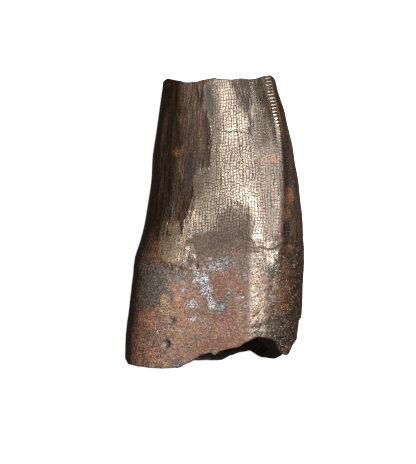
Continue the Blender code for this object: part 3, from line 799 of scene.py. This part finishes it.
def speckle(place, scale, detail=3.0, roughness=0.5):
    """Noise from 0 to 1, with its middle at 0.5."""
    return add("TexNoise", {"Vector": place, "Scale": scale, "Detail": detail, "Roughness": roughness})


def stretched(place, amounts, detail=3.0, roughness=0.6):
    """Noise with a frequency of its own along each axis."""
    return speckle(vectors("MULTIPLY", place, amounts), 1.0, detail, roughness)


def attribute(name):
    return add("Attribute", out=2, attribute_name=name)


# --- Material: places in millimetres, noise and masks ---

place = shade(add("TexCoord", out=3), 1 / MM)
across, up, off_floor = add("SeparateXYZ", {0: place}).node.outputs
# The grain of the enamel: millimetres around the tooth, then along it.
around = plus(attribute("across"), swing(speckle(place, 0.35, 2.0), 0.9))
grain = add("CombineXYZ", {0: around, 1: up})

fine_noise = speckle(place, 2.6, 4.0, 0.6)
grit = speckle(place, 4.6, 2.0, 0.65)
fine_grit = halves(fine_noise, grit)
coarse_noise = speckle(place, 0.55, 4.0, 0.55)
patchy = speckle(place, 1.1, 5.0, 0.62)
mottled = halves(fine_noise, patchy)
layers = stretched(place, (0.7, 3.4, 0.7))
lines_fine = stretched(grain, (5.6, 0.30, 1))
lines_wide = stretched(grain, (1.5, 0.08, 1), roughness=0.55)
streaky = stretched(grain, (3.1, 0.12, 1))

# Enamel or root, the broken faces, the cavity, and the part of its mouth that the camera sees, which gets
# painted shade.
region = attribute("region")
broken = rise(region, OUTSIDE, 0.6)
cavity = rise(region, BREAK, CAVITY)
enamel = rise(plus(attribute("edge"), swing(speckle(place, 1.8, 3.0, 0.6), 0.25)), -0.08, 0.06)
mouth = times(rise(off_floor, 14.0, 11.0), rise(up, -10.0, -12.0))
mouth = times(mouth, rise(plus(across, fine_noise), 5.4, 7.0))

# The labial side, and the steep flanks beside the lingual face, which get painted shade except on the
# labial side.
under = attribute("under")
flank = times(attribute("flank"), minus(1.0, under))
far_out = attribute("far_out")

# A net of hairline cracks along the grain and across it, from one strand to the next.
NET_ALONG, NET_ACROSS = 2.4, 2.2  # cracks to a millimetre of the face's width and of its height
along = plus(times(around, NET_ALONG), times(stretched(grain, (1.4, 0.6, 1), 4.0, 0.65), 1.4))
strand = add("TexWhiteNoise", {"W": maths("FLOOR", along)}, noise_dimensions="1D")
bend = times(stretched(grain, (2.4, 1.8, 1)), 1.3)
steps = plus(times(up, NET_ACROSS), bend, strand)


def gap(value, low, high):
    """1 where a value is near to a whole number."""
    return rise(off_half(maths("FRACT", value)), low, high)


net_noise = stretched(place, (1.2, 0.5, 1), roughness=0.5)
net_along = times(gap(along, 0.33, 0.45), rise(net_noise, 0.38, 0.58, 0.45, 1.0))
net_across = times(gap(steps, 0.33, 0.46), rise(speckle(place, 2.2), 0.36, 0.58, 0.2, 1.0))
net = most(net_along, net_across)

# Single cracks, and painted highlights along sharp edges, which waver a little about their lines.
crack_bend = add("TexNoise", {"Vector": place, "Scale": 1.6, "Detail": 3.0}, out=1)
crack_bend = vectors("MULTIPLY", vectors("SUBTRACT", crack_bend, (0.5, 0.5, 0.5)), (0.35, 0.35, 0.0))
crack_place = vectors("ADD", vectors("MULTIPLY", place, (1, 1, 0)), crack_bend)


def along_lines(lines):
    """1 on the listed lines, each (places on it, half width)."""
    found = 0.0
    for line, half in lines:
        line = [px(*p) for p in line]
        for (ax, ay), (bx, by) in zip(line, line[1:]):
            start = (ax - MIDDLE[0], ay - MIDDLE[1], 0.0)
            run = (bx - ax, by - ay, 0.0)
            away = vectors("SUBTRACT", crack_place, start)
            part = maths("DIVIDE", vectors("DOT_PRODUCT", away, run, out=1), run[0] ** 2 + run[1] ** 2)
            gone = vectors("DISTANCE", away, shade(run, add("Clamp", {0: part})), out=1)
            found = most(found, rise(gone, half * 0.5, half * 2.0, 1.0, 0.0))
    return times(found, attribute("lingual"))


cracked = along_lines(CRACKS)
painted_edge_highlight = along_lines(PAINTED_HIGHLIGHT_LINES)


def stain_and_shade_mask(name, softness=0.20, texture=patchy, ragged=1.1):
    """The mask of one kind of spot, stains and painted shade alike, its edge broken up by a texture."""
    return rise(plus(attribute(name), swing(texture, ragged)), 0.5 - softness, 0.5 + softness)


# Stains of the enamel, dark streaks with painted shade where its highlight is dimmed, and where its
# highlight is sleek, dull, hazy or brushed.
dark_streaks_and_shade = stain_and_shade_mask("dark_streaks_and_shade", 0.35, lines_fine, 1.6)
dull = stain_and_shade_mask("dull", 0.25)
paled = stain_and_shade_mask("pale", 0.4)
blue_black = stain_and_shade_mask("blue_black", 0.3, lines_fine)
tanned = stain_and_shade_mask("tan", 0.3, lines_fine)
veiled = most(dull, times(tanned, 0.6))
brushed = times(stain_and_shade_mask("brushed", 0.5, lines_fine, 0.8), minus(1.0, veiled))
turned = rise(plus(across, times(lines_fine, 5.0)), 7.7, 8.0)
sleek = rise(plus(across, rise(lines_wide, 0.35, 0.65, -0.5, 0.5)), 1.5, -1.3)
sleek = most(sleek, times(dark_streaks_and_shade, turned, 0.8))
hazy = times(dark_streaks_and_shade, rise(across, 1.0, 3.0), minus(1.0, turned))

# Stains, crusts and specks of the root, and the hollows of the band beside its mesial flank.
red_brown = stain_and_shade_mask("red_brown", 0.14, fine_noise, 2.2)
flaked = stain_and_shade_mask("flaked", 0.15)
specks = add("TexVoronoi", {"Vector": place, "Scale": 2.9}, feature="F1")
specks = times(rise(specks, 0.34, 0.18), rise(patchy, 0.38, 0.56))
BAND_FROM = (4.4, 5.6)
band = times(rise(across, *BAND_FROM), rise(across, 8.0, 6.9))
hollows = times(band, rise(grit, 0.46, 0.38))
threads = rise(off_half(speckle(place, 2.7, 2.0, 0.6)), 0.035, 0.012)
crusted = stain_and_shade_mask("crust", 0.10, fine_grit, 4.2)
crust = times(crusted, most(threads, rise(grit, 0.55, 0.60)))

# --- Material: colours, in linear values ---


def shaded_flank_colour():
    """The steep flanks beside the enamel's face: streaky dark enamel with painted shade, lighter far out as
    painted light.
    """
    tone = mix(rise(streaky, 0.40, 0.62), (0.0015, 0.0009, 0.0006), (0.034, 0.018, 0.010))
    tone = laid(tone, rise(patchy, 0.52, 0.66), 0.4, (0.050, 0.020, 0.008))
    tone = shade(tone, between(far_out, 1.2, 3.6))
    return shade(tone, rise(across, 6.0, 8.0, 1.0, 0.5))


def enamel_colour():
    """Dark enamel with fine growth lines, its stains, painted shade on the flanks and where the highlight
    is dimmed, the stripe beside the denticles, and the net.
    """
    tone = mix(rise(lines_wide, 0.38, 0.62), (0.016, 0.0088, 0.0050), (0.062, 0.038, 0.024))
    tone = laid(tone, rise(lines_fine, 0.42, 0.66), 0.6, (0.095, 0.062, 0.042))
    tone = laid(tone, rise(coarse_noise, 0.50, 0.72), 0.6, (0.078, 0.034, 0.018))
    # The distal half is lighter, with stronger lines.
    tone = shade(tone, rise(across, 0.0, -1.5, 1.0, 1.55))
    darkest, lightest = (rise(across, 1.5, -1.0, *ends) for ends in ((1.0, 0.20), (1.22, 1.50)))
    tone = shade(tone, rise(lines_fine, 0.43, 0.57, darkest, lightest))
    # Painted shade on the steep flanks.
    tone = mix(flank, tone, shaded_flank_colour())
    tone = laid(tone, paled, 0.8, (0.105, 0.078, 0.064))
    # Dark streaks, and painted shade where the highlight is dimmed.
    streak_and_shade_tone = mix(rise(lines_fine, 0.45, 0.62), (0.006, 0.003, 0.002), (0.034, 0.021, 0.014))
    tone = laid(tone, dark_streaks_and_shade, 0.9, streak_and_shade_tone)
    veil = mix(rise(fine_grit, 0.42, 0.58), (0.012, 0.006, 0.005), (0.056, 0.032, 0.025))
    tone = laid(tone, dull, 0.9, veil)
    tone = laid(tone, blue_black, 0.8, (0.016, 0.018, 0.021))
    tone = laid(tone, tanned, 0.8, (0.17, 0.120, 0.068))
    tone = laid(tone, stain_and_shade_mask("rust", 0.22, grit), 0.7, (0.20, 0.085, 0.032))
    tone = laid(tone, attribute("stripe"), rise(fine_grit, 0.42, 0.54, 0.12, 0.95), (0.30, 0.125, 0.050))
    tone = shade(tone, rise(grit, 0.30, 0.70, 0.50, 1.5))
    return laid(tone, net, 0.85, (0.008, 0.005, 0.004))


def root_colour():
    """Dentine with its patches, specks, pits and thin pale crust, and painted light and shade across it."""
    tone = mix(rise(patchy, 0.3, 0.7), (0.134, 0.060, 0.036), (0.256, 0.148, 0.106))
    tone = laid(tone, rise(coarse_noise, 0.4, 0.65), 0.5, (0.120, 0.070, 0.049))
    tone = laid(tone, stain_and_shade_mask("tan", 0.12, fine_grit, 2.0), 0.8, (0.300, 0.185, 0.102))
    tone = laid(tone, stain_and_shade_mask("rust", 0.14, mottled, 2.0), 0.8, (0.275, 0.121, 0.066))
    tone = laid(tone, stain_and_shade_mask("grey", 0.10, mottled, 2.0), 0.88, (0.082, 0.068, 0.060))
    tone = laid(tone, red_brown, 0.9, (0.200, 0.062, 0.030))
    tone = laid(tone, flaked, 0.9, (0.105, 0.080, 0.064))
    # Painted light and shade: lighter at the distal margin, and darker over the middle and on the mesial
    # side.
    for ramps in ((-13.4, -11.0, 1.5, 1.02), (-8.0, 1.0, 0.92, 0.50), (6.8, 8.6, 1.0, 0.52)):
        tone = shade(tone, rise(across, *ramps))
    # The mesial flank of the root: dark as painted shade, with rust, a little lighter far out.
    side = mix(rise(patchy, 0.40, 0.64), (0.012, 0.006, 0.004), (0.062, 0.030, 0.014))
    side = laid(side, stain_and_shade_mask("rust", 0.2), 0.6, (0.110, 0.048, 0.018))
    side = shade(side, between(far_out, 0.65, 0.80))
    tone = laid(tone, flank, rise(across, 6.0, 8.5, 0.0, 0.8), side)
    # More painted shade far out on the mesial side; twice as light on the labial side.
    tone = shade(tone, rise(across, 10.2, 11.6, 1.0, 0.65))
    tone = shade(tone, between(under, 1.0, 2.0))
    tone = shade(tone, rise(grit, 0.34, 0.66, between(flank, 0.36, 0.7), 1.6))
    tone = shade(tone, rise(layers, 0.30, 0.70, 0.66, 1.28))
    tone = laid(tone, specks, 0.8, (0.018, 0.012, 0.009))
    glints = most(between(flank, 0.6, 0.1), times(flaked, 0.85))
    tone = laid(tone, rise(grit, 0.60, 0.68), glints, mix(flaked, (0.42, 0.29, 0.23), (0.25, 0.25, 0.25)))
    tone = laid(tone, hollows, 0.75, (0.030, 0.020, 0.015))
    tone = laid(tone, times(crusted, rise(grit, 0.47, 0.40)), 0.8, (0.030, 0.022, 0.020))
    crust_tone = mix(rise(attribute("crust"), 0.38, 0.85), (0.22, 0.205, 0.21), (0.58, 0.62, 0.71))
    tone = laid(tone, crust, 0.95, crust_tone)
    # Dark inside the pits: partly their own colour, partly painted shade.
    pit_tone = mix(rise(grit, 0.45, 0.65), (0.024, 0.012, 0.009), (0.085, 0.062, 0.058))
    return laid(tone, attribute("pit"), 0.95, pit_tone)


def whole_colour():
    """Root and enamel, the details on them, and the inner surfaces."""
    tone = mix(enamel, root_colour(), enamel_colour())
    tone = laid(tone, cracked, 0.85, (0.007, 0.005, 0.004))
    # Painted highlights along sharp edges.
    tone = laid(tone, painted_edge_highlight, 0.8, (0.36, 0.22, 0.09))
    # Painted highlights on the denticles' tips, and painted shade in the slits between them.
    tone = laid(tone, rise(attribute("painted_bead_highlight"), 0.25, 0.8), 0.85, (0.24, 0.205, 0.175))
    tone = mix(rise(attribute("painted_slit_shade"), 0.2, 0.75), tone, (0.012, 0.007, 0.005))
    break_tone = mix(rise(patchy, 0.35, 0.65), (0.030, 0.020, 0.015), (0.070, 0.050, 0.038))
    # Painted shade: near black on the broken faces and the cavity where the camera looks into the mouth,
    # and dark over the rest of the cavity.
    tone = mix(broken, tone, mix(mouth, break_tone, (0.005, 0.003, 0.002)))
    return mix(cavity, tone, mix(mouth, (0.010, 0.007, 0.005), (0.002, 0.001, 0.001)))


# --- Material: roughness ---


def enamel_roughness():
    gloss = plus(rise(grit, 0.35, 0.68, 0.27, 0.37), rise(lines_wide, 0.45, 0.65, 0.0, 0.06))
    gloss = between(sleek, gloss, 0.25)
    gloss = between(veiled, gloss, rise(up, -2.7, 0.9, 0.80, 0.62))
    gloss = between(hazy, gloss, rise(lines_fine, 0.50, 0.64, 0.90, 0.42))
    gloss = between(paled, gloss, 0.60)
    gloss = between(times(blue_black, rise(across, -2.6, -1.6)), gloss, 0.80)
    gloss = between(brushed, gloss, 0.56)
    gloss = between(flank, gloss, 0.24)
    net_gloss = between(brushed, between(sleek, 0.43, 0.06), 0.40)
    gloss = plus(gloss, times(most(net, cracked), net_gloss))
    return rise(attribute("crest"), 0.1, 0.7, gloss, rise(up, 16.0, 18.0, 0.26, 0.40))


def root_range(distal, middle, band_top, band_base, mesial):
    """One end of the root's roughness, from the distal side to the mesial one."""
    in_band = rise(up, -9.0, -12.0, band_top, band_base)
    gloss = rise(across, *BAND_FROM, rise(across, -8.0, -4.0, distal, middle), in_band)
    return rise(across, 7.0, 8.2, gloss, mesial)


def root_roughness():
    roughest, smoothest = root_range(0.66, 0.88, 0.50, 0.38, 0.30), root_range(0.36, 0.74, 0.27, 0.24, 0.24)
    gloss = rise(fine_noise, 0.42, 0.60, roughest, smoothest)
    matte = most(crust, times(red_brown, 0.9))
    return between(most(matte, hollows), gloss, 0.85)


def whole_roughness():
    gloss = plus(times(enamel_roughness(), enamel), times(root_roughness(), minus(1.0, enamel)))
    gloss = between(broken, gloss, between(mouth, 0.45, 0.22))
    return between(cavity, gloss, between(mouth, 0.30, 0.15))


# --- Material: heights for the bump, in millimetres ---


def enamel_height():
    bumps = plus(times(lines_fine, 0.020), times(net, -0.029), times(grit, 0.006))
    bumps = times(bumps, rise(most(minus(sleek, brushed), paled), 0.15, 0.9, 1.0, 0.12))
    bumps = times(bumps, between(flank, 1.0, 0.5))
    return plus(bumps, times(fine_noise, veiled, 0.13))


def root_height():
    bumps = plus(times(fine_noise, between(band, 0.08, 0.11)), times(grit, 0.045))
    bumps = times(bumps, rise(across, 7.0, 8.4, 1.0, 0.10))
    return plus(bumps, times(crust, 0.03), times(specks, -0.04))


def whole_height():
    both = [add("CombineXYZ", {0: bumps}) for bumps in (root_height(), enamel_height())]
    return minus(add("SeparateColor", {0: mix(enamel, *both)}), times(cracked, between(sleek, 0.05, 0.004)))


bump = add("Bump", {"Height": whole_height(), "Distance": MM, "Strength": 1.0})
for socket, value in (("Base Color", whole_colour()), ("Roughness", whole_roughness()), ("Normal", bump)):
    tree.links.new(value, shader.inputs[socket])
shader.inputs["IOR"].default_value = 1.6
shader.inputs["Specular IOR Level"].default_value = 1.0
shader.inputs["Specular Tint"].default_value = (1.0, 0.85, 0.70, 1)
mesh.materials.append(material)

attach(tooth, "root")
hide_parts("tooth")

# --- Floor, lights and camera ---

FLOOR_SIZE, FLOOR_DROP = 3.0, 0.0002
PAPER = {  # white by its own light
    "Base Color": (0.86, 0.86, 0.86, 1),
    "Roughness": 0.9,
    "Emission Color": (1, 1, 1, 1),
    "Emission Strength": 1.0,
}
LIGHTS = [  # (name, place, size, watts)
    ("key", (0.20, 0.10, 0.36), (0.11, 0.11), 3.8),
    ("overhead", (-0.05, 0.05, 0.45), (0.5, 0.5), 0.04),
]
SKY = {"Color": (1, 0.88, 0.80, 1), "Strength": 0.05}
LENS, SENSOR = 200.0, 36.0
WIDEST = 0.008  # height of the tooth's widest line
ROWS, PIXEL = 464, 0.15  # rows of the picture, and millimetres to a pixel at the widest line
SPAN = ROWS * PIXEL * MM
AIM = (-0.945, -1.574)  # the picture's middle on the outline's axes


def set_inputs(node, values):
    for name, value in values.items():
        node.inputs[name].default_value = value


bpy.ops.mesh.primitive_plane_add(size=FLOOR_SIZE, location=(0, 0, -FLOOR_DROP))
floor = bpy.context.active_object
floor.name = "floor"
paper = bpy.data.materials.new("floor_paper")
paper.use_nodes = True
set_inputs(paper.node_tree.nodes["Principled BSDF"], PAPER)
floor.data.materials.append(paper)
floor.visible_diffuse = False
floor.visible_glossy = False

for name, at_place, size, watts in LIGHTS:
    light = bpy.data.lights.new(name, "AREA")
    light.shape = "RECTANGLE"
    light.size, light.size_y = size
    light.energy = watts
    holder = add_object(name, light)
    holder.location = at_place
    holder.rotation_euler = (-Vector(at_place)).to_track_quat("-Z", "Y").to_euler()

world = scene.world or bpy.data.worlds.new("world")
scene.world = world
world.use_nodes = True
set_inputs(world.node_tree.nodes["Background"], SKY)

camera_data = bpy.data.cameras.new("camera")
camera_data.lens = LENS
camera_data.sensor_width = SENSOR
camera = add_object("camera", camera_data)
camera.location = ((AIM[0] - MIDDLE[0]) * MM, (AIM[1] - MIDDLE[1]) * MM, WIDEST + SPAN * LENS / SENSOR)
camera.rotation_euler = (0, 0, 0)
scene.camera = camera
scene.view_settings.view_transform = "Standard"
